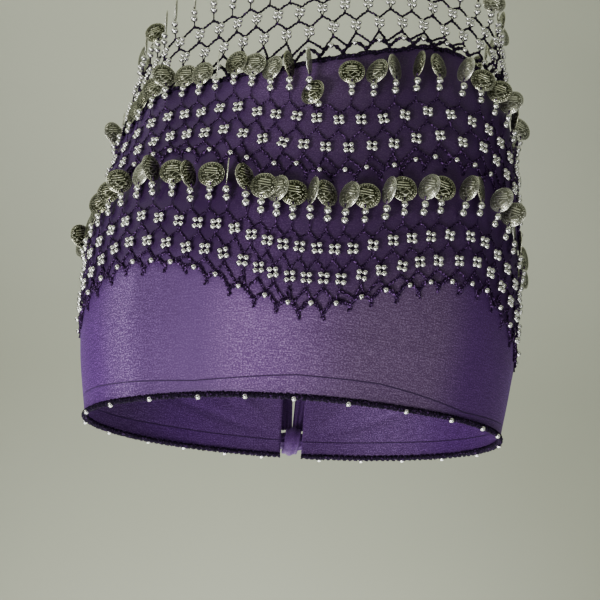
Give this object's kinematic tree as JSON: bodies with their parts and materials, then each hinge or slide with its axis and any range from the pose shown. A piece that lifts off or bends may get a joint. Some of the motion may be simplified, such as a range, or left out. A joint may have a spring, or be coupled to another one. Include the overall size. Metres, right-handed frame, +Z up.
{
  "type": "belly dance hip scarf",
  "caption": "Worn hip scarf: a hollow wrap of sheer purple cloth, tied at the back, with three rows of beaded crochet net and hanging coins.",
  "frame": {"origin": "middle of the ring made by the top edge, where the wearer's hips hold it", "axes": "+Z up, the front faces -Y, the knotted opening is at +Y, +X is to the right seen from the front"},
  "size_m": [0.3533, 0.2603, 0.3675],
  "materials": {
    "chiffon": "sheer crepe chiffon, purple, with a fine grain",
    "cord": "crocheted cord, dark violet",
    "coins": "stamped thin metal, antique silver",
    "beads": "polished silver beads"
  },
  "bodies": {
    "root": {"chiffon_wrap": "chiffon", "top_edging": "cord", "net_1": "cord", "net_2": "cord", "net_3_left": "cord", "net_3_right": "cord", "coins_1": "coins", "coins_2": "coins", "coins_3": "coins", "tie_left": "chiffon", "tie_right": "chiffon", "knot": "chiffon", "tail_left": "chiffon", "tail_right": "chiffon"}
  },
  "joints": []
}
